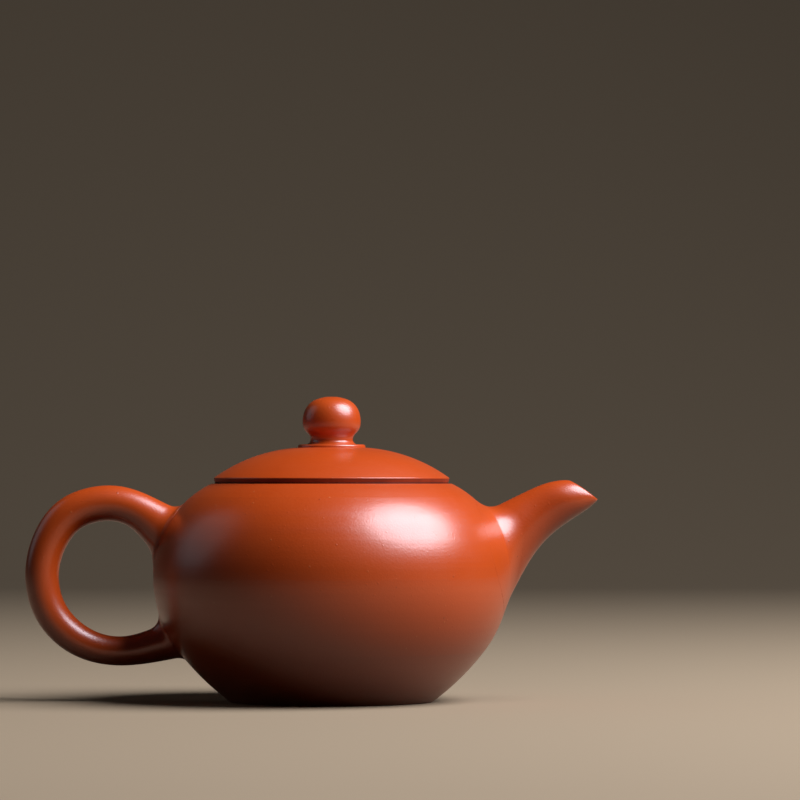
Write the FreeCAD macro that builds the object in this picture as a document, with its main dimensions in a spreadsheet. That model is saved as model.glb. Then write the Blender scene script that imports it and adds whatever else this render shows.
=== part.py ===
import FreeCAD, Part
import math
import os
import Sketcher

# A round clay teapot: hand-built body, luted spout and handle, and a lid that lifts off.
# Millimetres, +Z up. The origin is the middle of the base, on the table.
# The spout points to +X and the handle to -X.

# Driving sizes
SIZES = {
    # pot body
    "body_radius": 40.0,
    "belly_height": 28.0,
    "belly_round": 27.5,
    "lower_round": 57.0,
    "base_radius": 22.8,
    "base_thickness": 3.0,
    "base_edge_round": 0.7,
    "base_recess_radius": 18.5,
    "base_recess_depth": 0.8,
    "wall": 3.0,
    # shoulder and mouth
    "shoulder_height": 48.8,
    "shoulder_radius": 27.0,
    "shoulder_thickness": 3.0,
    "shoulder_edge_round": 0.4,
    "mouth_radius": 22.5,
    "mouth_ring_width": 3.75,
    "mouth_ring_height": 0.3,
    "ring_edge_round": 0.15,
    # lid
    "lid_radius": 26.45,
    "lid_rim_height": 1.1,
    "lid_edge_inset": 0.15,
    "lid_dome_rise": 6.7,
    "lid_dome_round": 36.0,
    "lid_thickness": 3.0,
    "lid_fit": 0.3,
    "flange_depth": 6.6,
    "flange_wall": 2.2,
    "flange_edge_round": 0.6,
    # knob
    "collar_radius": 7.6,
    "collar_height": 0.7,
    "collar_edge_round": 0.55,
    "knob_radius": 6.5,
    "knob_half_height": 5.3,
    "knob_lift": 5.5,
    "neck_radius": 4.75,
    "neck_foot_round": 1.1,
    "vent_radius": 1.0,
    # spout
    "spout_root_depth": 6.5,
    "spout_root_rise": 1.1,
    "spout_root_height": 25.2,
    "spout_root_width": 17.0,
    "spout_root_tilt": 12.5,
    "spout_bend_reach": 5.8,
    "spout_bend_drop": 4.95,
    "spout_mouth_reach": 16.5,
    "spout_mouth_drop": 1.6,
    "spout_mouth_height": 8.8,
    "spout_mouth_width": 7.2,
    "spout_mouth_tilt": 53.2,
    "spout_wall": 1.8,
    "spout_lip": 0.9,
    "spout_lip_round": 0.3,
    # strainer
    "strainer_radius": 5.2,
    "strainer_wall": 1.3,
    "strainer_rise": 3.5,
    "strainer_sink": 1.2,
    "strainer_collar": 1.7,
    "strainer_hole_radius": 0.8,
    "strainer_ring_radius": 2.9,
    # handle
    "handle_reach": 8.6,
    "handle_rise": 0.1,
    "handle_loop_radius": 16.6,
    "handle_upper_angle": 72.0,
    "handle_lower_angle": 278.0,
    "handle_upper_width": 7.9,
    "handle_lower_width": 6.8,
    "handle_upper_root_depth": 5.0,
    "handle_upper_root_rise": 6.8,
    "handle_upper_root_tilt": 42.0,
    "handle_upper_root_width": 15.0,
    "handle_lower_root_depth": 8.8,
    "handle_lower_root_drop": 14.1,
    "handle_lower_root_tilt": 10.0,
    "handle_lower_root_width": 8.4,
}

# Counts
SPOUT_STATIONS = 6
HANDLE_ARC_STATIONS = 7
STRAINER_RING_HOLES = 7

doc = FreeCAD.newDocument("teapot")
sheet = doc.addObject("Spreadsheet::Sheet", "sizes")
for row, (alias, number) in enumerate(SIZES.items(), start=1):
    sheet.set(f"A{row}", alias.replace("_", " "))
    sheet.set(f"B{row}", str(number))
    sheet.setAlias(f"B{row}", alias)
doc.recompute()


class Size:
    """A number that also carries the sheet formula it comes from."""

    def __init__(self, value, formula):
        self.value = value
        self.formula = formula

    def __add__(self, other):
        other = as_size(other)
        return Size(self.value + other.value, f"({self.formula} + {other.formula})")

    def __sub__(self, other):
        other = as_size(other)
        return Size(self.value - other.value, f"({self.formula} - {other.formula})")

    def __mul__(self, other):
        other = as_size(other)
        return Size(self.value * other.value, f"({self.formula} * {other.formula})")

    def __truediv__(self, other):
        other = as_size(other)
        return Size(self.value / other.value, f"({self.formula} / {other.formula})")

    def __neg__(self):
        return Size(-self.value, f"(-{self.formula})")


def as_size(value):
    """A plain number as a size of its own."""
    return value if isinstance(value, Size) else Size(float(value), repr(float(value)))


def cosine(angle):
    return Size(math.cos(math.radians(angle.value)), f"cos({angle.formula} * 1deg)")


def sine(angle):
    return Size(math.sin(math.radians(angle.value)), f"sin({angle.formula} * 1deg)")


size = {alias: Size(number, f"<<sizes>>.{alias}") for alias, number in SIZES.items()}

# Levels up the pot
seat_of_lid = size["shoulder_height"] + size["mouth_ring_height"]
top_of_rim = seat_of_lid + size["lid_rim_height"]
seat_of_collar = top_of_rim + size["lid_dome_rise"]
seat_of_knob = seat_of_collar + size["collar_height"]
under_shoulder = size["shoulder_height"] - size["shoulder_thickness"]

# Lid collar, which hangs in the mouth with a small clearance
flange_radius = size["mouth_radius"] - size["lid_fit"]
flange_bore = flange_radius - size["flange_wall"]


# Sketches and features
def new_body(label):
    body = doc.addObject("PartDesign::Body", label)
    body.Label = label
    return body


def sketch_on(body, name, role, x=0, y=0, z=0, tilt=None):
    """An empty sketch on one of the body's origin planes, shifted in that plane's own axes.

    tilt turns it about the plane's first axis.
    """
    sketch = body.newObject("Sketcher::SketchObject", name)
    plane = next(p for p in body.Origin.OriginFeatures if p.Role == role)
    sketch.AttachmentSupport = (plane, [""])
    sketch.MapMode = "FlatFace"
    turn = FreeCAD.Rotation(FreeCAD.Vector(1, 0, 0), tilt.value if tilt else 0)
    shift = FreeCAD.Vector(*(as_size(v).value for v in (x, y, z)))
    sketch.AttachmentOffset = FreeCAD.Placement(shift, turn)
    for axis, value in (("x", x), ("y", y), ("z", z)):
        if isinstance(value, Size):
            sketch.setExpression(f"AttachmentOffset.Base.{axis}", value.formula)
    if tilt:
        sketch.setExpression("AttachmentOffset.Rotation.Angle", f"{tilt.formula} * 1deg")
    return sketch


def hold(sketch, kind, *where_and_size):
    """A dimension of the sketch, bound to the sheet."""
    *where, value = where_and_size
    index = sketch.addConstraint(Sketcher.Constraint(kind, *where, value.value))
    sketch.setExpression(f"Constraints[{index}]", value.formula)


def hold_corner(sketch, side, end, x, y):
    """Hold one end of a sketch line or arc at its distance from the two axes."""
    for kind, axis, value in (("DistanceX", -2, x), ("DistanceY", -1, y)):
        if isinstance(value, Size):
            hold(sketch, kind, -1, 1, side, end, value)
        else:
            sketch.addConstraint(Sketcher.Constraint("PointOnObject", side, end, axis))


def flat_vector(x, y):
    return FreeCAD.Vector(as_size(x).value, as_size(y).value, 0)


def arc_through(start, end, radius):
    """The short arc between two points; a negative radius turns right on its way."""
    chord = end - start
    left = FreeCAD.Vector(-chord.y, chord.x, 0).normalize()
    rise = math.sqrt(radius * radius - chord.Length * chord.Length / 4)
    centre = (start + end) * 0.5 + left * math.copysign(rise, radius)
    first, last = (start, end) if radius > 0 else (end, start)
    angles = [math.atan2(p.y - centre.y, p.x - centre.x) for p in (first, last)]
    return Part.ArcOfCircle(Part.Circle(centre, FreeCAD.Vector(0, 0, 1), abs(radius)), *angles)


def draw_outline(sketch, corners):
    """A closed outline of corners (x, y) or (x, y, radius of the arc to the next corner)."""
    ends = []
    points = [flat_vector(corner[0], corner[1]) for corner in corners]
    for index, corner in enumerate(corners):
        start = points[index]
        end = points[(index + 1) % len(points)]
        if len(corner) == 2:
            side = sketch.addGeometry(Part.LineSegment(start, end))
            ends.append((side, 1, 2))
            continue
        radius = corner[2]
        side = sketch.addGeometry(arc_through(start, end, radius.value))
        ends.append((side, 1, 2) if radius.value > 0 else (side, 2, 1))
        hold(sketch, "Radius", side, radius if radius.value > 0 else -radius)
    for index, (side, first, last) in enumerate(ends):
        after, after_first, _ = ends[(index + 1) % len(ends)]
        sketch.addConstraint(Sketcher.Constraint("Coincident", side, last, after, after_first))
        hold_corner(sketch, side, first, *corners[index][:2])


def feature(body, kind, name, sketch, **settings):
    """A feature on a sketch, with sizes bound to the sheet and other settings as they are."""
    made = body.newObject(f"PartDesign::{kind}", name)
    made.Profile = sketch
    for key, value in settings.items():
        if isinstance(value, Size):
            made.setExpression(key, value.formula)
        else:
            setattr(made, key, value)
    sketch.Visibility = False
    doc.recompute()
    return made


def revolve(body, name, sketch, axis="V_Axis", kind="Revolution"):
    return feature(body, kind, name, sketch, ReferenceAxis=(sketch, [axis]), Angle=360.0)


def ring(body, inner, outer, bottom, top):
    """A ring about the pot's axis with a rectangular section."""
    sketch = sketch_on(body, f"{body.Name}_section", "XZ_Plane")
    draw_outline(sketch, [(inner, bottom), (outer, bottom), (outer, top), (inner, top)])
    return revolve(body, f"{body.Name}_ring", sketch)


def drill(body, name, role, radius, **settings):
    """A round hole square to one of the origin planes."""
    shift = {key: settings.pop(key) for key in ("x", "y", "z") if key in settings}
    centre = settings.pop("centre", None)
    sketch = sketch_on(body, f"{name}_circle", role, **shift)
    middle = flat_vector(centre, 0) if centre else FreeCAD.Vector()
    circle = sketch.addGeometry(Part.Circle(middle, FreeCAD.Vector(0, 0, 1), radius.value))
    hold(sketch, "Radius", circle, radius)
    hold_corner(sketch, circle, 3, centre if centre else 0, 0)
    return feature(body, "Pocket", name, sketch, Type="ThroughAll", **settings)


def round_edges(body, name, radius, wanted):
    """Round every edge of the body's last feature that the test picks."""
    base = body.Tip
    names = [f"Edge{i}" for i, edge in enumerate(base.Shape.Edges, start=1) if wanted(edge)]
    fillet = body.newObject("PartDesign::Fillet", name)
    fillet.Base = (base, names)
    fillet.Radius = radius.value
    fillet.setExpression("Radius", radius.formula)
    doc.recompute()
    return fillet


def at_ring(*places):
    """A test for circles about the pot's axis, given as pairs of radius and height."""
    spots = [(radius.value, height.value) for radius, height in places]

    def wanted(edge):
        if not isinstance(edge.Curve, Part.Circle):
            return False
        found = (edge.Curve.Radius, edge.Curve.Center.z)
        return any(math.dist(found, spot) < 0.01 for spot in spots)

    return wanted


# Outline of the pot
# The shoulder arc and the belly arc are upright where they meet at the belly.
# The lower arc is tangent to the belly arc and ends at the base.
def draw_belly(sketch):
    """The pot's three outer arcs, from the base up to the shoulder."""
    belly = flat_vector(size["body_radius"], size["belly_height"])
    shoulder = flat_vector(size["shoulder_radius"], size["shoulder_height"])
    base = flat_vector(size["base_radius"], 0)
    belly_round = size["belly_round"].value
    lower_round = size["lower_round"].value

    rise = shoulder.y - belly.y
    inset = belly.x - shoulder.x
    shoulder_round = (rise * rise + inset * inset) / (2 * inset)
    belly_centre = belly - FreeCAD.Vector(belly_round, 0, 0)
    span = belly_centre - base
    along = (lower_round ** 2 - (lower_round - belly_round) ** 2 + span.Length ** 2) / (2 * span.Length)
    across = math.sqrt(lower_round ** 2 - along ** 2)
    left = FreeCAD.Vector(-span.y, span.x, 0).normalize()
    lower_centre = base + span.normalize() * along + left * across
    turn = belly_centre + (belly_centre - lower_centre).normalize() * belly_round

    lower = sketch.addGeometry(arc_through(base, turn, lower_round))
    waist = sketch.addGeometry(arc_through(turn, belly, belly_round))
    upper = sketch.addGeometry(arc_through(belly, shoulder, shoulder_round))
    join_arcs(sketch, lower, waist, upper)
    hold_corner(sketch, lower, 1, size["base_radius"], 0)
    hold_corner(sketch, upper, 1, size["body_radius"], size["belly_height"])
    hold_corner(sketch, upper, 2, size["shoulder_radius"], size["shoulder_height"])
    for arc in (waist, upper):
        hold(sketch, "DistanceY", -1, 1, arc, 3, size["belly_height"])
    hold(sketch, "Radius", waist, size["belly_round"])
    hold(sketch, "Radius", lower, size["lower_round"])
    return lower, waist, upper


def join_arcs(sketch, lower, waist, upper):
    sketch.addConstraint(Sketcher.Constraint("Tangent", lower, 2, waist, 1))
    sketch.addConstraint(Sketcher.Constraint("Coincident", waist, 2, upper, 1))


def close_to_axis(sketch, lower, upper):
    """Join the ends of the arcs to the pot's axis, so that the outline can be revolved."""
    start = sketch.getPoint(lower, 1)
    end = sketch.getPoint(upper, 2)
    foot = FreeCAD.Vector(0, start.y, 0)
    crown = FreeCAD.Vector(0, end.y, 0)
    floor = sketch.addGeometry(Part.LineSegment(foot, start))
    roof = sketch.addGeometry(Part.LineSegment(end, crown))
    axis = sketch.addGeometry(Part.LineSegment(crown, foot))
    for first, second in ((floor, lower), (upper, roof), (roof, axis), (axis, floor)):
        sketch.addConstraint(Sketcher.Constraint("Coincident", first, 2, second, 1))
    for line in (floor, roof):
        sketch.addConstraint(Sketcher.Constraint("Horizontal", line))
    for end_of_axis in (1, 2):
        sketch.addConstraint(Sketcher.Constraint("PointOnObject", axis, end_of_axis, -2))


def pot_outline(body, name):
    """Everything inside the pot's outer surface."""
    sketch = sketch_on(body, name, "XZ_Plane")
    lower, _, upper = draw_belly(sketch)
    close_to_axis(sketch, lower, upper)
    return sketch


def hollow_outline(body, name):
    """The hollow between the two slabs, one wall inside the outer arcs."""
    sketch = sketch_on(body, name, "XZ_Plane")
    outer = draw_belly(sketch)
    wall = size["wall"].value
    circles = [(arc.Center, arc.Radius - wall) for arc in (sketch.Geometry[i] for i in outer)]
    for arc in outer:
        sketch.setConstruction(arc, True)

    (low_centre, low_radius), (mid_centre, mid_radius), (top_centre, top_radius) = circles
    floor_angle = math.asin((size["base_thickness"].value - low_centre.y) / low_radius)
    meeting = mid_centre - low_centre
    turn_angle = math.atan2(meeting.y, meeting.x)
    roof_angle = math.asin((under_shoulder.value - top_centre.y) / top_radius)
    spans = ((floor_angle, turn_angle), (turn_angle, 0), (0, roof_angle))
    inner = []
    for (centre, radius), span, guide in zip(circles, spans, outer):
        circle = Part.Circle(centre, FreeCAD.Vector(0, 0, 1), radius)
        inner.append(sketch.addGeometry(Part.ArcOfCircle(circle, *span)))
        sketch.addConstraint(Sketcher.Constraint("Coincident", inner[-1], 3, guide, 3))
    lower, waist, upper = inner
    join_arcs(sketch, lower, waist, upper)
    hold(sketch, "Radius", waist, size["belly_round"] - size["wall"])
    hold(sketch, "DistanceY", -1, 1, lower, 1, size["base_thickness"])
    hold(sketch, "DistanceY", -1, 1, upper, 1, size["belly_height"])
    hold(sketch, "DistanceY", -1, 1, upper, 2, under_shoulder)
    close_to_axis(sketch, lower, upper)
    return sketch


def solid_pot(body):
    return revolve(body, f"{body.Name}_form", pot_outline(body, f"{body.Name}_outline"))


def cut_level(body, name, level, above):
    """Cut away all clay above or below a level."""
    sweep = size["body_radius"] * 2
    return drill(body, name, "XY_Plane", sweep, z=level, Reversed=above)


# Base slab, with its middle pressed in so that the pot stands on a flat ring
base_disc = new_body("base_disc")
solid_pot(base_disc)
cut_level(base_disc, "base_top", size["base_thickness"], above=True)
round_edges(base_disc, "base_edge", size["base_edge_round"], at_ring((size["base_radius"], as_size(0))))
recess = sketch_on(base_disc, "base_recess_section", "XZ_Plane")
recess_depth = size["base_recess_depth"]
recess_radius = size["base_recess_radius"]
draw_outline(recess, [
    (0, 0),
    (recess_radius, 0),
    (recess_radius - recess_depth, recess_depth),
    (0, recess_depth),
])
revolve(base_disc, "base_recess", recess, kind="Groove")

# Wall of the belly, an even shell between the two slabs, pierced for the spout
body_wall = new_body("body_wall")
solid_pot(body_wall)
cut_level(body_wall, "wall_bottom", size["base_thickness"], above=False)
cut_level(body_wall, "wall_top", under_shoulder, above=True)
revolve(body_wall, "wall_hollow", hollow_outline(body_wall, "wall_hollow_outline"), kind="Groove")
strainer_height = size["belly_height"] + size["strainer_rise"]
drill(body_wall, "spout_hole", "YZ_Plane", size["strainer_radius"], y=strainer_height, Reversed=True)

# Top slab with the mouth cut through it
shoulder_disc = new_body("shoulder_disc")
solid_pot(shoulder_disc)
cut_level(shoulder_disc, "shoulder_bottom", under_shoulder, above=False)
drill(shoulder_disc, "mouth", "XY_Plane", size["mouth_radius"], Reversed=True)
shoulder_edge = at_ring((size["shoulder_radius"], size["shoulder_height"]))
round_edges(shoulder_disc, "shoulder_edge", size["shoulder_edge_round"], shoulder_edge)

# Mouth ring, the lid's seat
mouth_ring = new_body("mouth_ring")
mouth_ring_radius = size["mouth_radius"] + size["mouth_ring_width"]
ring(mouth_ring, size["mouth_radius"], mouth_ring_radius, size["shoulder_height"], seat_of_lid)
ring_edges = at_ring((size["mouth_radius"], seat_of_lid), (mouth_ring_radius, seat_of_lid))
round_edges(mouth_ring, "ring_edges", size["ring_edge_round"], ring_edges)


# Cross-sections of the spout and the handle
# Each stands square to the XZ plane at (x, z), its top leaning back by tilt.
def cross_section(body, name, x, z, tilt, height, width=None):
    sketch = sketch_on(body, name, "YZ_Plane", y=z, z=x, tilt=-tilt)
    origin = FreeCAD.Vector()
    if width is None:
        circle = sketch.addGeometry(Part.Circle(origin, FreeCAD.Vector(0, 0, 1), height.value / 2))
        hold(sketch, "Diameter", circle, height)
    else:
        top = FreeCAD.Vector(0, height.value / 2, 0)
        side = FreeCAD.Vector(width.value / 2, 0, 0)
        sketch.addGeometry(Part.Ellipse(top, side, origin))
        sketch.exposeInternalGeometry(0)
        major, minor = 1, 2
        sketch.addConstraint(Sketcher.Constraint("Vertical", major))
        hold(sketch, "Distance", major, height)
        hold(sketch, "Distance", minor, width)
    sketch.addConstraint(Sketcher.Constraint("Coincident", 0, 3, -1, 1))
    return sketch


def loft(body, name, sections, kind="AdditiveLoft"):
    for section in sections[1:]:
        section.Visibility = False
    return feature(body, kind, name, sections[0], Sections=sections[1:], Ruled=False)


def trim_to_pot(body):
    """Cut away what lies inside the pot's outer surface."""
    revolve(body, f"{body.Name}_seat", pot_outline(body, f"{body.Name}_seat_outline"), kind="Groove")


# Spout
# Its centre line is a parabola from the root to the mouth. Height, width and lean change with the
# square of the way along it, so that it flares into the wall.
def bend(start, control, end, way):
    return start * (1 - way) ** 2 + control * (2 * way * (1 - way)) + end * way ** 2


def spout_section(name, way, skin):
    """One section of the spout; skin is the clay taken off on each side, None for the outside."""
    reach = size["body_radius"]
    top = size["shoulder_height"]
    x = bend(reach - size["spout_root_depth"], reach + size["spout_bend_reach"],
             reach + size["spout_mouth_reach"], way)
    z = bend(size["belly_height"] + size["spout_root_rise"], top - size["spout_bend_drop"],
             top - size["spout_mouth_drop"], way)
    tilt = size["spout_root_tilt"] + (size["spout_mouth_tilt"] - size["spout_root_tilt"]) * way ** 2
    flare = (1 - way) ** 2
    height = size["spout_mouth_height"] + (size["spout_root_height"] - size["spout_mouth_height"]) * flare
    width = size["spout_mouth_width"] + (size["spout_root_width"] - size["spout_mouth_width"]) * flare
    if skin:
        height = height - skin * 2
        width = width - skin * 2
    return cross_section(spout, name, x, z, tilt, height, width)


spout = new_body("spout")
ways = [index / (SPOUT_STATIONS - 1) for index in range(SPOUT_STATIONS)]
loft(spout, "spout_skin", [spout_section(f"spout_outside_{i}", way, None) for i, way in enumerate(ways)])
bore_sections = []
for index, way in enumerate(ways):
    skin = size["spout_wall"] + (size["spout_lip"] - size["spout_wall"]) * way
    bore_sections.append(spout_section(f"spout_inside_{index}", way, skin))
loft(spout, "spout_bore", bore_sections, kind="SubtractiveLoft")
trim_to_pot(spout)
spout_tip = size["body_radius"].value + size["spout_mouth_reach"].value


def at_lip(edge):
    middle = edge.BoundBox.Center
    return math.hypot(middle.x - spout_tip, middle.z - bore_sections[-1].Placement.Base.z) < 0.1


round_edges(spout, "spout_lip", size["spout_lip_round"], at_lip)

# Ball strainer, a pierced dome whose collar fills the hole in the wall
strainer = new_body("strainer")
dome = sketch_on(strainer, "strainer_section", "XZ_Plane", y=strainer_height)
dome_radius = size["strainer_radius"]
dome_bore = dome_radius - size["strainer_wall"]
dome_start = size["body_radius"] - size["wall"] - size["strainer_sink"]
collar_end = dome_start + size["strainer_collar"]
draw_outline(dome, [
    (collar_end, dome_bore),
    (collar_end, dome_radius),
    (dome_start, dome_radius, dome_radius),
    (dome_start - dome_radius, 0),
    (dome_start - dome_bore, 0, -dome_bore),
    (dome_start, dome_bore),
])
revolve(strainer, "strainer_dome", dome, axis="H_Axis")
hole_radius = size["strainer_hole_radius"]
drill(strainer, "strainer_middle_hole", "YZ_Plane", hole_radius, y=strainer_height, Reversed=True)
ring_hole = drill(strainer, "strainer_ring_hole", "YZ_Plane", hole_radius, y=strainer_height,
                  centre=size["strainer_ring_radius"], Reversed=True)
hole_ring = strainer.newObject("PartDesign::PolarPattern", "strainer_ring_holes")
hole_ring.Originals = [ring_hole]
hole_ring.Axis = (ring_hole.Profile[0], ["N_Axis"])
hole_ring.Angle = 360.0
hole_ring.Occurrences = STRAINER_RING_HOLES
strainer.Tip = hole_ring

# Handle, one round coil that thins from its upper end to its lower end
handle = new_body("handle")
loop_x = -(size["body_radius"] + size["handle_reach"])
loop_z = size["belly_height"] + size["handle_rise"]
upper_root_x = -(size["body_radius"] - size["handle_upper_root_depth"])
lower_root_x = -(size["body_radius"] - size["handle_lower_root_depth"])
coil = [cross_section(handle, "handle_upper_root", upper_root_x, loop_z + size["handle_upper_root_rise"],
                      -size["handle_upper_root_tilt"], size["handle_upper_root_width"])]
for index in range(HANDLE_ARC_STATIONS):
    way = index / (HANDLE_ARC_STATIONS - 1)
    angle = size["handle_upper_angle"] + (size["handle_lower_angle"] - size["handle_upper_angle"]) * way
    width = size["handle_upper_width"] + (size["handle_lower_width"] - size["handle_upper_width"]) * way
    x = loop_x + size["handle_loop_radius"] * cosine(angle)
    z = loop_z + size["handle_loop_radius"] * sine(angle)
    coil.append(cross_section(handle, f"handle_section_{index}", x, z, angle - 90, width))
coil.append(cross_section(handle, "handle_lower_root", lower_root_x, loop_z - size["handle_lower_root_drop"],
                          as_size(180) + size["handle_lower_root_tilt"], size["handle_lower_root_width"]))
loft(handle, "handle_coil", coil)
trim_to_pot(handle)

# Lid plate, domed up to a flat seat for the knob
lid_dome = new_body("lid_dome")
dome_edge = size["lid_radius"] - size["lid_edge_inset"]
plate = sketch_on(lid_dome, "lid_section", "XZ_Plane")
ceiling = seat_of_collar - size["lid_thickness"]
draw_outline(plate, [
    (size["vent_radius"], ceiling),
    (size["collar_radius"], ceiling, -(size["lid_dome_round"] - size["lid_thickness"])),
    (flange_bore, top_of_rim),
    (dome_edge, top_of_rim, size["lid_dome_round"]),
    (size["collar_radius"], seat_of_collar),
    (size["vent_radius"], seat_of_collar),
])
revolve(lid_dome, "lid_plate", plate)

# Lid edge, a flat ring under the plate that rests on the mouth ring
lid_rim = new_body("lid_rim")
ring(lid_rim, flange_bore, size["lid_radius"], seat_of_lid, top_of_rim)
rim_edges = at_ring((size["lid_radius"], seat_of_lid), (size["lid_radius"], top_of_rim))
round_edges(lid_rim, "rim_edges", size["ring_edge_round"], rim_edges)

# Lid collar, which hangs in the mouth
lid_flange = new_body("lid_flange")
flange_end = seat_of_lid - size["flange_depth"]
ring(lid_flange, flange_bore, flange_radius, flange_end, seat_of_lid)
flange_edges = at_ring((flange_bore, flange_end), (flange_radius, flange_end))
round_edges(lid_flange, "flange_edges", size["flange_edge_round"], flange_edges)

# Step under the knob
knob_collar = new_body("knob_collar")
ring(knob_collar, size["vent_radius"], size["collar_radius"], seat_of_collar, seat_of_knob)
collar_edge = at_ring((size["collar_radius"], seat_of_knob))
round_edges(knob_collar, "collar_edge", size["collar_edge_round"], collar_edge)

# Knob, a flattened ball on a neck that flares at its foot
knob = new_body("knob")
neck = sketch_on(knob, "neck_section", "XZ_Plane")
ball_height = seat_of_knob + size["knob_lift"]
draw_outline(neck, [
    (0, seat_of_knob),
    (size["neck_radius"] + size["neck_foot_round"], seat_of_knob, -size["neck_foot_round"]),
    (size["neck_radius"], seat_of_knob + size["neck_foot_round"]),
    (size["neck_radius"], ball_height),
    (0, ball_height),
])
revolve(knob, "knob_neck", neck)
ball = knob.newObject("PartDesign::AdditiveEllipsoid", "knob_ball")
ball.AttachmentSupport = (next(p for p in knob.Origin.OriginFeatures if p.Role == "XY_Plane"), [""])
ball.MapMode = "FlatFace"
ball.setExpression("AttachmentOffset.Base.z", ball_height.formula)
ball.setExpression("Radius1", size["knob_half_height"].formula)
ball.setExpression("Radius2", size["knob_radius"].formula)
ball.setExpression("Radius3", size["knob_radius"].formula)
doc.recompute()
drill(knob, "knob_vent", "XY_Plane", size["vent_radius"], Reversed=True)

# Pieces in the order they are put together
doc.recompute()
pieces = [base_disc, body_wall, shoulder_disc, mouth_ring, spout, strainer, handle,
          lid_dome, lid_rim, lid_flange, knob_collar, knob]
for item in doc.Objects:
    if "Invalid" in item.State or "Error" in item.State:
        raise RuntimeError(f"{item.Name} did not build: {item.getStatusString()}")
for piece in pieces:
    if piece.Shape.isNull() or not piece.Shape.isValid() or len(piece.Shape.Solids) != 1:
        raise RuntimeError(f"{piece.Label} is not one sound solid")
os.makedirs("parts", exist_ok=True)
for piece in pieces:
    piece.Shape.exportStep(f"parts/{piece.Label}.step")
    box = piece.Shape.BoundBox
    print(f"{piece.Label}: {piece.Shape.Volume:.0f} mm3, x {box.XMin:.1f} to {box.XMax:.1f}, "
          f"y {box.YMin:.1f} to {box.YMax:.1f}, z {box.ZMin:.1f} to {box.ZMax:.1f}")
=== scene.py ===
import math

import bmesh
import bpy
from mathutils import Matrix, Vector


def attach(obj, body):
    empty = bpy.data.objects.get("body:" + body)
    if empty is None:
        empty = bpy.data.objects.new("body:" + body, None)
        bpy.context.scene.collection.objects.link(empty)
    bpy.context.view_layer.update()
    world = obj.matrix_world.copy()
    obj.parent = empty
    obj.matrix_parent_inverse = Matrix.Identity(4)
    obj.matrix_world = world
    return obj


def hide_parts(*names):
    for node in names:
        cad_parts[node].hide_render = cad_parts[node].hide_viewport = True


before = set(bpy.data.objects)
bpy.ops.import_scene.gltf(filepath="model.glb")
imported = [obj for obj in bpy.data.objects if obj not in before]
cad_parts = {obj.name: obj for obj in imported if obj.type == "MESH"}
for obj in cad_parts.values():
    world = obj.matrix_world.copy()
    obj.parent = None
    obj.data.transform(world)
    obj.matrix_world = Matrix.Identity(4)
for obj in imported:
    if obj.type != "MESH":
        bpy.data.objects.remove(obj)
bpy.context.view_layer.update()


# Pot body
# Base, belly and shoulder are slabs of fine red clay, beaten to shape and luted edge to edge.
# The outside is burnished with a horn rib before firing, and the inside keeps its scraped skin.
class Wire:
    """A shader socket. Sums with it add Math nodes to its tree."""

    def __init__(self, tree, socket=None):
        self.tree = tree
        self.socket = socket

    def node(self, kind, settings, sockets, output=0):
        """Any other node: its settings first, then the values or links of its sockets."""
        made = self.tree.nodes.new("ShaderNode" + kind)
        for name, value in settings.items():
            setattr(made, name, value)
        for name, value in sockets.items():
            if isinstance(value, Wire):
                self.tree.links.new(value.socket, made.inputs[name])
            else:
                made.inputs[name].default_value = value
        return Wire(self.tree, made.outputs[output] if made.outputs else None)

    def sum(self, operation, first, second):
        """A Math node of two wires, or of a wire and a number."""
        return self.node("Math", {"operation": operation}, {0: first, 1: second})

    def __add__(self, other):
        return self.sum("ADD", self, other)

    def __radd__(self, other):
        return self.sum("ADD", other, self)

    def __sub__(self, other):
        return self.sum("SUBTRACT", self, other)

    def __rsub__(self, other):
        return self.sum("SUBTRACT", other, self)

    def __mul__(self, other):
        return self.sum("MULTIPLY", self, other)

    def __rmul__(self, other):
        return self.sum("MULTIPLY", other, self)

    def rise(self, low, high):
        """0 below low, 1 above high, and a soft step between."""
        return self.node("MapRange", {"interpolation_type": "SMOOTHSTEP"},
                         {"Value": self, "From Min": low, "From Max": high})

    def tint(self, colour, other):
        """This colour where the wire is 0, the other where it is 1."""
        return self.node("Mix", {"data_type": "RGBA"}, {0: self, 6: colour, 7: other}, output=2)


def blank_material(name):
    """A material without nodes, and a wire to build them from."""
    material = bpy.data.materials.new(name)
    material.use_nodes = True
    material.node_tree.nodes.clear()
    return material, Wire(material.node_tree)


POLISH = 0.31
DRIFT = 28.0
CLOUD = 190.0
SAND = 480.0
GRAIN = 2400.0
RAW_GRAIN = (0.539, 0.115, 0.0335, 1)


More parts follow.
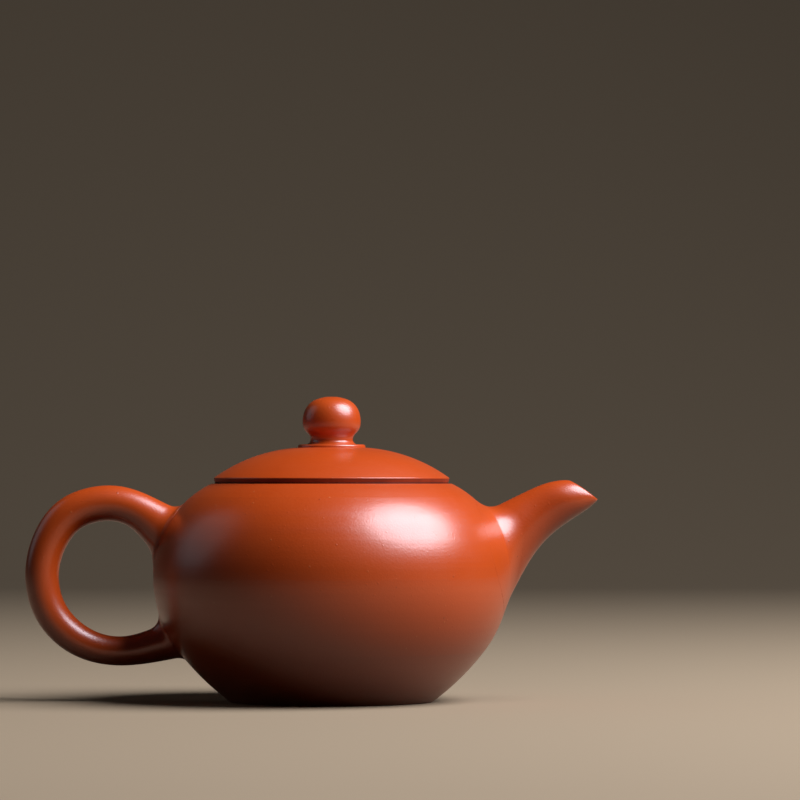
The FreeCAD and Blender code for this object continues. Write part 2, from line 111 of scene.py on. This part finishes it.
def fired_clay(name, strokes, middle=None):
    """Burnished red clay, raw on the faces that look towards the middle.

    strokes is how fine the burnishing lines are along each axis.
    """
    material, make = blank_material(name)
    place = make.node("TexCoord", {}, {}, output="Object")

    drift = make.node("TexNoise", {}, {"Vector": place, "Scale": DRIFT, "Detail": 2.0})
    cloud = make.node("TexNoise", {}, {"Vector": place, "Scale": CLOUD, "Detail": 3.0})
    grain = make.node("TexNoise", {}, {"Vector": place, "Scale": GRAIN, "Detail": 2.0})
    drawn_out = make.node("Mapping", {}, {"Vector": place, "Scale": strokes})
    lines = make.node("TexNoise", {}, {"Vector": drawn_out, "Scale": 1.0, "Detail": 3.0})
    sand = make.node("TexVoronoi", {}, {"Vector": place, "Scale": SAND})
    sand_pick = make.node("TexVoronoi", {}, {"Vector": place, "Scale": SAND}, output="Color")
    pick = make.node("SeparateColor", {}, {0: sand_pick}, output="Red")
    speck = 1 - sand.rise(0.06, 0.14)
    iron = speck * pick.rise(0.965, 0.975)
    mica = speck * (1 - pick.rise(0.07, 0.09))

    colour = drift.rise(0.3, 0.7).tint((0.513, 0.0623, 0.0054, 1), (0.565, 0.0725, 0.0066, 1))
    colour = (cloud.rise(0.25, 0.75) * 0.30).tint(colour, (0.530, 0.0725, 0.0078, 1))
    colour = (grain.rise(0.35, 0.75) * 0.12).tint(colour, (0.617, 0.1067, 0.0149, 1))
    colour = (lines.rise(0.4, 0.7) * 0.10).tint(colour, (0.417, 0.0461, 0.0048, 1))
    sheen = POLISH + (lines - 0.5) * 0.08 + (cloud - 0.5) * 0.06 + (grain - 0.5) * 0.04
    relief = grain * 0.30 + lines * 0.30 + speck * 0.25
    if middle:
        facing = make.node("NewGeometry", {}, {}, output="Normal")
        outwards = make.node("VectorMath", {"operation": "SUBTRACT"}, {0: place, 1: middle})
        outside = make.node("VectorMath", {"operation": "DOT_PRODUCT"}, {0: outwards, 1: facing},
                            output="Value")
        downwards = make.node("SeparateXYZ", {}, {0: facing}, output="Z")
        burnished = outside.rise(-0.0002, 0.0006) * downwards.rise(-0.97, -0.9)
        raw = (grain.rise(0.3, 0.7) * 0.5).tint((0.435, 0.0725, 0.0179, 1), RAW_GRAIN)
        colour = burnished.tint(raw, colour)
        sheen = sheen * burnished + (1 - burnished) * 0.62
        relief = relief + (1 - burnished) * grain
    colour = (iron * 0.40).tint(colour, (0.200, 0.0222, 0.0045, 1))
    colour = (mica * 0.30).tint(colour, (0.696, 0.222, 0.0744, 1))

    bumps = make.node("Bump", {}, {"Strength": 0.8, "Distance": 0.0001, "Height": relief})
    skin = make.node("BsdfPrincipled", {}, {"Base Color": colour, "Roughness": sheen,
                                            "Normal": bumps, "Specular IOR Level": 0.92})
    make.node("OutputMaterial", {}, {"Surface": skin})
    return material


def made_of(clay, *nodes):
    """Give solids of the frame their clay."""
    for node in nodes:
        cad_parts[node].material_slots[0].material = clay


AROUND = (16, 16, 750)
POT_MIDDLE = (0, 0, 0.028)
pot_clay = fired_clay("burnished_clay_pot", AROUND, middle=POT_MIDDLE)
made_of(pot_clay, "base_disc", "body_wall", "shoulder_disc")


# Mouth ring
# A thin coil of the same clay on the shoulder, ground flat with the lid so that the two seal.
# Only its outer edge shows, as the line under the lid, and it is painted near black as the shade in the
# seam there.
# Radii where the outer edge goes over to painted shade.
SHADE_START, SHADE_FULL = 0.0255, 0.0260


def shade_edged_clay(name, darker, lighter):
    """Ground clay, dull and mottled, with an outer edge painted darker as shade."""
    material, make = blank_material(name)
    place = make.node("TexCoord", {}, {}, output="Object")
    mottle = make.node("TexNoise", {}, {"Vector": place, "Scale": 140.0, "Detail": 3.0})
    mottled = mottle.rise(0.35, 0.65)
    grain = make.node("TexNoise", {}, {"Vector": place, "Scale": GRAIN, "Detail": 2.0})
    across = make.node("SeparateXYZ", {}, {0: place}, output="X")
    deep = make.node("SeparateXYZ", {}, {0: place}, output="Y")
    # Painted shade: past these radii the colour turns to the darker pair, as the shade in a seam or on a
    # face that leans under.
    edge = (across * across + deep * deep).rise(SHADE_START ** 2, SHADE_FULL ** 2)
    ground = mottled.tint((0.330, 0.042, 0.0062, 1), (0.420, 0.058, 0.0090, 1))
    colour = edge.tint(ground, mottled.tint(darker, lighter))
    bumps = make.node("Bump", {}, {"Strength": 0.3, "Distance": 0.00004, "Height": grain})
    skin = make.node("BsdfPrincipled", {}, {"Base Color": colour, "Roughness": 0.5 + grain * 0.2,
                                            "Normal": bumps, "Specular IOR Level": 0.3})
    make.node("OutputMaterial", {}, {"Surface": skin})
    return material


# Painted shade: the ring's outer edge is near black, standing in for the shade in the seam under the lid.
ring_clay = shade_edged_clay("painted_shade_clay_mouth", (0.078, 0.0094, 0.0019, 1), (0.130, 0.0154, 0.0030, 1))
made_of(ring_clay, "mouth_ring")


# Strainer
# A small pierced dome pressed from the same clay, set into the wall behind the spout.
# It is left as it came from the mould.
def raw_clay(name):
    """Fired clay without burnishing, paler and dull, with an open grain."""
    material, make = blank_material(name)
    place = make.node("TexCoord", {}, {}, output="Object")
    cloud = make.node("TexNoise", {}, {"Vector": place, "Scale": CLOUD, "Detail": 3.0})
    grain = make.node("TexNoise", {}, {"Vector": place, "Scale": GRAIN, "Detail": 2.0})
    colour = cloud.rise(0.3, 0.7).tint((0.417, 0.0666, 0.0156, 1), (0.470, 0.0819, 0.0208, 1))
    colour = (grain.rise(0.3, 0.7) * 0.4).tint(colour, RAW_GRAIN)
    relief = grain + cloud * 0.6
    bumps = make.node("Bump", {}, {"Strength": 0.3, "Distance": 0.00006, "Height": relief})
    skin = make.node("BsdfPrincipled", {}, {"Base Color": colour, "Roughness": 0.56 + grain * 0.12,
                                            "Normal": bumps})
    make.node("OutputMaterial", {}, {"Surface": skin})
    return material


mould_clay = raw_clay("raw_clay_strainer")
made_of(mould_clay, "strainer")


# Spout
# A tapered tube of clay, cut slantwise at its mouth and luted over the hole in the wall. The joint
# is worked over with slip until it flows into the belly, and the lip is rounded with a wet finger.
BELLY = 0.0400, 0.0280  # radius and height
SHOULDER = 0.0270, 0.0488  # radius and height
BASE = 0.0228
BELLY_ROUND = 0.0275
LOWER_ROUND = 0.0570
ROUND = 96
TURNS = [2 * math.pi * i / ROUND for i in range(ROUND)]


def belly_arcs():
    """Middle and radius of the three arcs of the pot's outline: shoulder, belly and lower."""
    rise = SHOULDER[1] - BELLY[1]
    inset = BELLY[0] - SHOULDER[0]
    upper = (rise * rise + inset * inset) / (2 * inset)
    belly_middle = Vector((BELLY[0] - BELLY_ROUND, BELLY[1]))
    foot = Vector((BASE, 0))
    span = belly_middle - foot
    along = (LOWER_ROUND ** 2 - (LOWER_ROUND - BELLY_ROUND) ** 2 + span.length ** 2) / (2 * span.length)
    across = math.sqrt(LOWER_ROUND ** 2 - along ** 2)
    span.normalize()
    lower_middle = foot + span * along + Vector((-span.y, span.x)) * across
    return (
        (Vector((BELLY[0] - upper, BELLY[1])), upper),
        (belly_middle, BELLY_ROUND),
        (lower_middle, LOWER_ROUND),
    )


ARCS = belly_arcs()


def off_belly(point):
    """How far a point stands off the pot's outside, and the way out there."""
    reach = math.hypot(point.x, point.y)
    spot = Vector((reach, point.z))
    middle, radius = ARCS[0]
    if point.z < BELLY[1]:
        low_middle = ARCS[2][0]
        turn = ARCS[1][0] - low_middle
        here = spot - low_middle
        middle, radius = ARCS[1] if turn.x * here.y - turn.y * here.x > 0 else ARCS[2]
    out = spot - middle
    distance = out.length - radius
    out.normalize()
    return distance, Vector((out.x * point.x / reach, out.x * point.y / reach, out.y))


def on_belly(point, sink=0.0, rounds=3):
    """The nearest place on the pot's outside, or a little under it."""
    for _ in range(rounds):
        distance, out = off_belly(point)
        point = point - out * distance
    return point - out * sink


def leaves_belly(skin, turn, inside, outside, halvings=40):
    """Where along its length a skin comes out of the pot."""
    for _ in range(halvings):
        way = (inside + outside) / 2
        if off_belly(skin(way, turn))[0] < 0:
            inside = way
        else:
            outside = way
    return way


def eased(first, side, last):
    """A size that goes round a section: first at turn 0, side at the quarters, last at the half."""
    def at(turn):
        lean = math.cos(turn)
        return side + ((first if lean > 0 else last) - side) * lean * lean
    return at


NUDGE = 0.002  # a small step along a skin
PROUD = 0.00001  # how far a joint's edge stands off the pot's surface
TUCK = 0.0003  # how deep its hidden hem lies under that surface
OVERLAP = 0.02  # how far the hem runs out, as a share of the joint
BENDS = (0, 0.03, 0.12, 0.3, 0.55, 0.8, 0.95)


def luted_joint(skin, inside, outside, along, across, crease):
    """Rings of a worked-over joint, from under the pot's surface out to the skin.

    along and across give its size for each turn, and crease how far the tool's line in it goes
    back to the corner. Also gives where each line joins the skin.
    """
    ways = [leaves_belly(skin, turn, inside, outside) for turn in TURNS]
    seam = [skin(way, turn) for way, turn in zip(ways, TURNS)]
    heart = sum(seam, Vector()) / ROUND
    step = math.copysign(NUDGE, outside - inside)
    rings = [[] for _ in range(2 * len(BENDS) + 2)]
    joins = []
    for i, turn in enumerate(TURNS):
        corner = seam[i]
        out = off_belly(corner)[1]
        away = out.cross(seam[(i + 1) % ROUND] - seam[i - 1]).normalized()
        if away.dot(corner - heart) < 0:
            away = -away
        pace = (skin(ways[i] + step, turn) - corner).length / NUDGE
        join = ways[i] + math.copysign(along(turn) / pace, step)
        joins.append(join)
        start = on_belly(corner + away * across(turn), sink=-PROUD)
        end = skin(join, turn)
        start_out = off_belly(start)[1]
        lead = corner - start
        lead = (lead - start_out * lead.dot(start_out)).normalized() * across(turn)
        tail = (skin(join + step, turn) - skin(join - step, turn)).normalized() * along(turn)
        near = start + lead * 0.5
        far = end - tail * 0.5
        line = near.lerp(far, 0.5).lerp(corner, crease(turn))
        spots = [on_belly(start - lead * OVERLAP, sink=TUCK)]
        spots += [start.lerp(near, s).lerp(near.lerp(line, s), s) for s in BENDS]
        spots.append(line)
        spots += [line.lerp(far, 1 - s).lerp(far.lerp(end, 1 - s), 1 - s) for s in BENDS[::-1]]
        for ring, spot in zip(rings, spots):
            ring.append(spot)
    return rings, joins


def rings_along(skin, starts, ends, count):
    """Even rings of a skin, from just after where its lines start to where they end."""
    rings = []
    for k in range(1, count + 1):
        share = k / count
        ways = [start + (end - start) * share for start, end in zip(starts, ends)]
        rings.append([skin(way, turn) for way, turn in zip(ways, TURNS)])
    return rings


def skin_over(mesh, rings, closed=False):
    """Rings of edges drawn through the points, with clay bridged from each to the next."""
    loops = []
    for points in rings:
        circle = bmesh.ops.create_circle(mesh, segments=len(points), radius=1)["verts"]
        for vert, point in zip(circle, points):
            vert.co = point
        loops.append(list({edge for vert in circle for edge in vert.link_edges}))
    pairs = list(zip(loops, loops[1:]))
    if closed:
        pairs.append((loops[-1], loops[0]))
    strips = [bmesh.ops.bridge_loops(mesh, edges=first + second)["faces"] for first, second in pairs]
    return loops, strips


def smooth_object(name, mesh, *materials):
    """Turn a worked mesh into a smooth object of the scene."""
    for face in mesh.faces:
        face.smooth = True
    data = bpy.data.meshes.new(name)
    mesh.to_mesh(data)
    mesh.free()
    for material in materials:
        data.materials.append(material)
    made = bpy.data.objects.new(name, data)
    bpy.context.scene.collection.objects.link(made)
    return made


def finish_piece(name, mesh, body, node, *materials):
    """Close a worked mesh, and let it ride on its body in place of its solid."""
    bmesh.ops.remove_doubles(mesh, verts=mesh.verts, dist=1e-7)
    bmesh.ops.recalc_face_normals(mesh, faces=mesh.faces)
    piece = smooth_object(name, mesh, *materials)
    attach(piece, body)
    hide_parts(node)


def drawn_through(stations, rounds=40):
    """The pulls on a smooth curve, in metres, that take it through a row of stations in millimetres."""
    row = [Vector(station) * 0.001 for station in stations]
    pulls = row
    for _ in range(rounds):
        inner = [(spot * 6 - before - after) / 4 for before, spot, after in zip(pulls, row[1:], pulls[2:])]
        pulls = row[:1] + inner + row[-1:]
    return pulls


def drawn_curve(pulls, way):
    """A place on the smooth curve that a row of pulls draws out, and its heading there."""
    row = [pulls[0] * 2 - pulls[1]] + pulls + [pulls[-1] * 2 - pulls[-2]]
    place = min(max(way, 0.0), 1.0) * (len(pulls) - 1)
    i = min(int(place), len(pulls) - 2)
    s = place - i
    a, b, c, d = row[i:i + 4]
    spot = (a * (1 - s) ** 3 + b * (3 * s ** 3 - 6 * s * s + 4)
            + c * (1 + 3 * s + 3 * s * s - 3 * s ** 3) + d * s ** 3) / 6
    heading = (b * (3 * s * s - 4 * s) - a * (1 - s) ** 2 + c * (1 + 2 * s - 3 * s * s) + d * s * s) / 2
    return spot, heading


SPOUT = drawn_through([
    # x and z of the upper line, x and z of the lower one, and half width
    (30.9, 40.8, 36.2, 16.8, 8.5),
    (35.3, 42.9, 40.1, 23.4, 7.3),
    (39.3, 44.9, 43.8, 30.3, 6.0),
    (43.0, 46.7, 47.6, 35.6, 4.9),
    (46.5, 48.3, 51.8, 39.3, 4.4),
    (49.8, 49.3, 56.0, 42.1, 4.0),
    (53.1, 49.7, 59.9, 44.7, 2.8),
])
SPOUT_WALL = 0.0016
SPOUT_RINGS = 44
BORE_RINGS = 20
LIP_RINGS = 12
LIP_OUT = Vector((0.61, 0, 0.79))
LIP_INNER = 0.0005
OUTER_CURL = 0.13
INNER_CURL = 0.025
lip_outer = eased(0.00055, 0.00080, 0.00055)
lip_crest = eased(0.00010, 0.00042, 0.00038)


def spout_skin(way, turn, inset=0.0):
    """A place on the spout: way runs from the root to the mouth, turn goes round it from the top."""
    top_x, top_z, low_x, low_z, wide = drawn_curve(SPOUT, way)[0]
    up = Vector((top_x - low_x, 0, top_z - low_z)) / 2
    middle = Vector((low_x, 0, low_z)) + up
    up *= 1 - inset / up.length
    return middle + up * math.cos(turn) + Vector((0, (inset - wide) * math.sin(turn), 0))


def bore_skin(way, turn):
    """A place in the spout's bore, which the wall's thickness and the lip's set at its two ends."""
    return spout_skin(way, turn, SPOUT_WALL + (lip_outer(turn) + LIP_INNER - SPOUT_WALL) * way)


def lip_spot(curl, turn):
    """A place on the lip, which curls over from the outside at 0 to the bore at half a turn."""
    to_outside = curl < math.pi / 2
    way = 1 - (OUTER_CURL if to_outside else INNER_CURL) * (1 - math.sin(curl))
    inset = lip_outer(turn) - (lip_outer(turn) if to_outside else LIP_INNER) * math.cos(curl)
    return spout_skin(way, turn, inset) + LIP_OUT * (lip_crest(turn) * math.sin(curl))


rings, joins = luted_joint(
    spout_skin, 0.0, 1.0,
    along=eased(0.0038, 0.0074, 0.0030),
    across=eased(0.0036, 0.0105, 0.0030),
    crease=eased(0.0, 0.25, -0.1),
)
rings += rings_along(spout_skin, joins, [1 - OUTER_CURL] * ROUND, SPOUT_RINGS)
for k in range(1, LIP_RINGS + 1):
    rings.append([lip_spot(math.pi * k / LIP_RINGS, turn) for turn in TURNS])
burnished_strips = len(rings)
ends = [leaves_belly(bore_skin, turn, 0.0, 1.0) for turn in TURNS]
rings += rings_along(bore_skin, [1 - INNER_CURL] * ROUND, ends, BORE_RINGS)
rings.append([on_belly(bore_skin(end, turn), sink=TUCK) for end, turn in zip(ends, TURNS)])
mesh = bmesh.new()
loops, strips = skin_over(mesh, rings, closed=True)
for edge in loops[1]:
    edge.smooth = False
for strip in strips[burnished_strips:]:
    for face in strip:
        face.material_index = 1
spout_clay = fired_clay("burnished_clay_spout", (300, 300, 300))
finish_piece("spout_luted", mesh, "pot", "spout", spout_clay, mould_clay)


# Handle
# One rolled coil, thicker at the top, bent round like an ear and luted to the belly at both ends.
# The upper end is pressed wide and worked into the wall, the lower one is only slipped over.
COIL = drawn_through([
    # x and z of its middle, half height and half width
    (-31.0, 36.2, 6.8, 5.1),
    (-36.8, 38.3, 5.6, 4.6),
    (-42.2, 42.0, 4.3, 4.1),
    (-48.4, 44.3, 4.0, 4.0),
    (-55.2, 43.6, 4.0, 4.0),
    (-61.0, 39.7, 4.0, 4.0),
    (-64.8, 31.0, 3.8, 3.9),
    (-63.4, 20.8, 3.7, 3.7),
    (-56.4, 13.5, 3.5, 3.5),
    (-46.2, 11.3, 3.3, 3.3),
    (-36.1, 13.6, 4.2, 3.8),
    (-31.2, 15.0, 5.0, 4.2),
])
COIL_RINGS = 140


def coil_skin(way, turn):
    """A place on the coil: way runs from the upper root to the lower, turn starts at the outer side."""
    (x, z, tall, wide), heading = drawn_curve(COIL, way)
    out = Vector((heading[1], 0, -heading[0])).normalized()
    return Vector((x, 0, z)) + out * (tall * math.cos(turn)) + Vector((0, -wide * math.sin(turn), 0))


upper_rings, upper_joins = luted_joint(
    coil_skin, 0.0, 0.3,
    along=eased(0.0018, 0.0024, 0.0046),
    across=eased(0.0015, 0.0016, 0.0052),
    crease=eased(0.0, 0.25, 0.0),
)
lower_rings, lower_joins = luted_joint(
    coil_skin, 1.0, 0.7,
    along=eased(0.0016, 0.0016, 0.0032),
    across=eased(0.0012, 0.0010, 0.0036),
    crease=eased(0.0, 0.15, 0.0),
)
coil_rings = rings_along(coil_skin, upper_joins, lower_joins, COIL_RINGS)[:-1]
mesh = bmesh.new()
loops = skin_over(mesh, upper_rings + coil_rings + lower_rings[::-1])[0]
for edge in loops[1] + loops[-2]:
    edge.smooth = False
for loop in (loops[0], loops[-1]):
    bmesh.ops.holes_fill(mesh, edges=loop, sides=ROUND)
handle_clay = fired_clay("burnished_clay_handle", (260, 260, 260))
finish_piece("handle_coil", mesh, "pot", "handle", handle_clay)


# Lid
# A domed plate with a collar underneath that drops into the mouth, and a thin round step for the knob.
# It is burnished outside and left scraped inside.
LID_MIDDLE = (0, 0, 0.040)
lid_clay = fired_clay("burnished_clay_lid", AROUND, middle=LID_MIDDLE)
made_of(lid_clay, "lid_dome", "lid_flange", "knob_collar")


# Lid edge
# A flat ring luted under the plate and trimmed with it, so that the dome runs on over its upper edge.
# Its outer face is cut a little under and isn't burnished, and it is painted darker as the shade on a face
# that leans under.
EDGE_RADIUS = 0.02645
EDGE_ROUND = 0.00025
EDGE_STEPS = 12
EDGE_LOW, EDGE_TOP = 0.0491, 0.0502
EDGE_BORE = 0.0200
UNDERCUT = math.radians(14)
LOW_BEVEL = 0.00006
SHARP = math.radians(30)
LEANS_UNDER = -0.15
SEAT = EDGE_LOW + 0.00001
DOME_ROUND = 0.0360
dome_edge = Vector((0.0263, EDGE_TOP))
dome_top = Vector((0.0076, 0.0569))


def turned(outline, steps):
    """A closed outline of radius and height, turned once round the pot's axis."""
    mesh = bmesh.new()
    verts = [mesh.verts.new((spot.x, 0, spot.y)) for spot in outline]
    edges = [mesh.edges.new(pair) for pair in zip(verts, verts[1:] + verts[:1])]
    bmesh.ops.spin(mesh, geom=verts + edges, cent=(0, 0, 0), axis=(0, 0, 1), angle=2 * math.pi,
                   steps=steps, use_merge=True)
    return mesh


chord = dome_top - dome_edge
depth = math.sqrt(DOME_ROUND ** 2 - chord.length ** 2 / 4)
dome_middle = (dome_edge + dome_top) / 2 + Vector((-chord.y, chord.x)).normalized() * depth
bend_x = EDGE_RADIUS - EDGE_ROUND
bend_reach = DOME_ROUND - EDGE_ROUND
turn_in = bend_x - dome_middle.x
bend = Vector((bend_x, dome_middle.y + math.sqrt(bend_reach ** 2 - turn_in ** 2)))
steep = math.acos(turn_in / bend_reach)
section = [dome_edge]
for k in range(EDGE_STEPS + 1):
    lean = steep - (steep + UNDERCUT) * k / EDGE_STEPS
    section.append(bend + Vector((math.cos(lean), math.sin(lean))) * EDGE_ROUND)
fall = section[-1].y - EDGE_LOW - LOW_BEVEL
section.append(section[-1] + Vector((-math.tan(UNDERCUT) * fall, -fall)))
section.append(section[-1] + Vector((-LOW_BEVEL, -LOW_BEVEL)))
section += [Vector((EDGE_BORE, EDGE_LOW)), Vector((EDGE_BORE, EDGE_TOP))]
mesh = turned(section, 2 * ROUND)
bmesh.ops.recalc_face_normals(mesh, faces=mesh.faces)
for edge in mesh.edges:
    edge.smooth = edge.calc_face_angle(0) < SHARP
for face in mesh.faces:
    on_seat = face.calc_center_median().z < SEAT
    # Painted shade: faces that lean under, apart from the seat, take the darker clay.
    face.material_index = 0 if on_seat or face.normal.z > LEANS_UNDER else 1
# The darker pair is painted shade for the under-leaning outer face of the rim.
edge_clay = shade_edged_clay("painted_shade_clay_lid", (0.217, 0.0239, 0.0030, 1), (0.287, 0.0324, 0.0041, 1))
finish_piece("lid_edge", mesh, "lid", "lid_rim", lid_clay, edge_clay)


# Knob
# A ball turned with a short neck, set on the lid's round step.
# It is pierced from top to bottom, so that steam gets out and the tea pours.
KNOB = drawn_through([
    # radius and height
    (1.3, 68.3),
    (3.8, 67.6),
    (5.7, 65.9),
    (6.5, 63.4),
    (6.2, 61.1),
    (5.1, 59.7),
    (4.8, 58.4),
    (5.6, 57.6),
])
KNOB_RINGS = 66
KNOB_FOOT = 0.0576
AIR_HOLE = 0.0010
HOLE_TOP = 0.0680
HOLE_EDGE = Vector((0.00105, 0.06822))
outline = [Vector((AIR_HOLE, KNOB_FOOT)), Vector((AIR_HOLE, HOLE_TOP)), HOLE_EDGE]
outline += [drawn_curve(KNOB, k / KNOB_RINGS)[0] for k in range(KNOB_RINGS + 1)]
knob_clay = fired_clay("burnished_clay_knob", AROUND)
finish_piece("knob_ball", turned(outline, ROUND), "lid", "knob", knob_clay)


# Floor
# A pale paper sweep that curves up behind the pot. It shows pale and throws little light back,
# so that the underside of the belly keeps its shade.
SHEET_HALF = 4
SHEET_BEND = 1.0
BEND_ROUND = 0.8
BEND_STEPS = 24
BACK_HEIGHT = 3
sweep = bmesh.new()
front = sweep.verts.new((-SHEET_HALF, -SHEET_HALF, 0))
line = bmesh.ops.extrude_vert_indiv(sweep, verts=[front])["verts"][0]
line.co = Vector((-SHEET_HALF, SHEET_BEND, 0))
bmesh.ops.spin(sweep, geom=[line], cent=(-SHEET_HALF, SHEET_BEND, BEND_ROUND), axis=(1, 0, 0),
               angle=math.radians(90), steps=BEND_STEPS)
back = max(sweep.verts, key=lambda vert: vert.co.z)
top = bmesh.ops.extrude_vert_indiv(sweep, verts=[back])["verts"][0]
top.co = back.co + Vector((0, 0, BACK_HEIGHT))
sheet = bmesh.ops.extrude_edge_only(sweep, edges=sweep.edges)["geom"]
far_side = [part for part in sheet if isinstance(part, bmesh.types.BMVert)]
bmesh.ops.translate(sweep, verts=far_side, vec=(2 * SHEET_HALF, 0, 0))
bmesh.ops.recalc_face_normals(sweep, faces=sweep.faces)

paper, make = blank_material("pale_paper")
to_camera = make.node("LightPath", {}, {}, output="Is Camera Ray")
to_gloss = make.node("LightPath", {}, {}, output="Is Glossy Ray")
through = make.node("LightPath", {}, {}, output="Is Transmission Ray")
seen = (to_camera + to_gloss + through).rise(0, 1)
shade = seen.tint((0.0226, 0.0171, 0.0112, 1), (0.322, 0.256, 0.167, 1))
matt = make.node("BsdfPrincipled", {}, {"Base Color": shade, "Roughness": 0.9, "Specular IOR Level": 0.1})
make.node("OutputMaterial", {}, {"Surface": matt})
floor = smooth_object("paper_sweep", sweep, paper)


# Light
# An oval soft box high on the right, a weak cool one on the left, and a little light all round.
LIT_SPOT = Vector((0, 0, 0.035))


def soft_box(name, place, width, height, power, colour):
    """An oval lamp that faces the pot."""
    lamp = bpy.data.lights.new(name, "AREA")
    lamp.shape = "ELLIPSE"
    lamp.size = width
    lamp.size_y = height
    lamp.energy = power
    lamp.color = colour
    box = bpy.data.objects.new(name, lamp)
    box.location = place
    box.rotation_euler = (LIT_SPOT - Vector(place)).to_track_quat("-Z", "Y").to_euler()
    bpy.context.scene.collection.objects.link(box)


soft_box("soft_box_right", (0.506, -0.143, 0.642), width=0.76, height=0.68,
         power=14.8, colour=(0.90, 0.89, 1.0))
soft_box("soft_box_left", (-0.79, 0.187, 0.45), width=0.62, height=0.76,
         power=0.44, colour=(0.82, 0.91, 1.0))
world = bpy.data.worlds.new("room")
bpy.context.scene.world = world
world.use_nodes = True
room_light = world.node_tree.nodes["Background"].inputs
room_light["Color"].default_value = (0.80, 0.80, 0.80, 1)
room_light["Strength"].default_value = 0.015


# Camera
# Level with the lid, looking along +Y with the spout on the right.
# The picture's middle lies a little right of the pot's axis and above eye level.
CAMERA_AWAY = 0.95
HALF_PICTURE = 0.08988
EYE_RIGHT = 0.01536
EYE_LEVEL = 0.0494
AIM_RISE = 0.0182
camera = bpy.data.cameras.new("camera")
camera.angle = 2 * math.atan(HALF_PICTURE / CAMERA_AWAY)
eye = bpy.data.objects.new("camera", camera)
eye.location = (EYE_RIGHT, -CAMERA_AWAY, EYE_LEVEL)
eye.rotation_euler = Vector((0, CAMERA_AWAY, AIM_RISE)).to_track_quat("-Z", "Y").to_euler()
bpy.context.scene.collection.objects.link(eye)
bpy.context.scene.camera = eye
bpy.context.scene.view_settings.view_transform = "Standard"
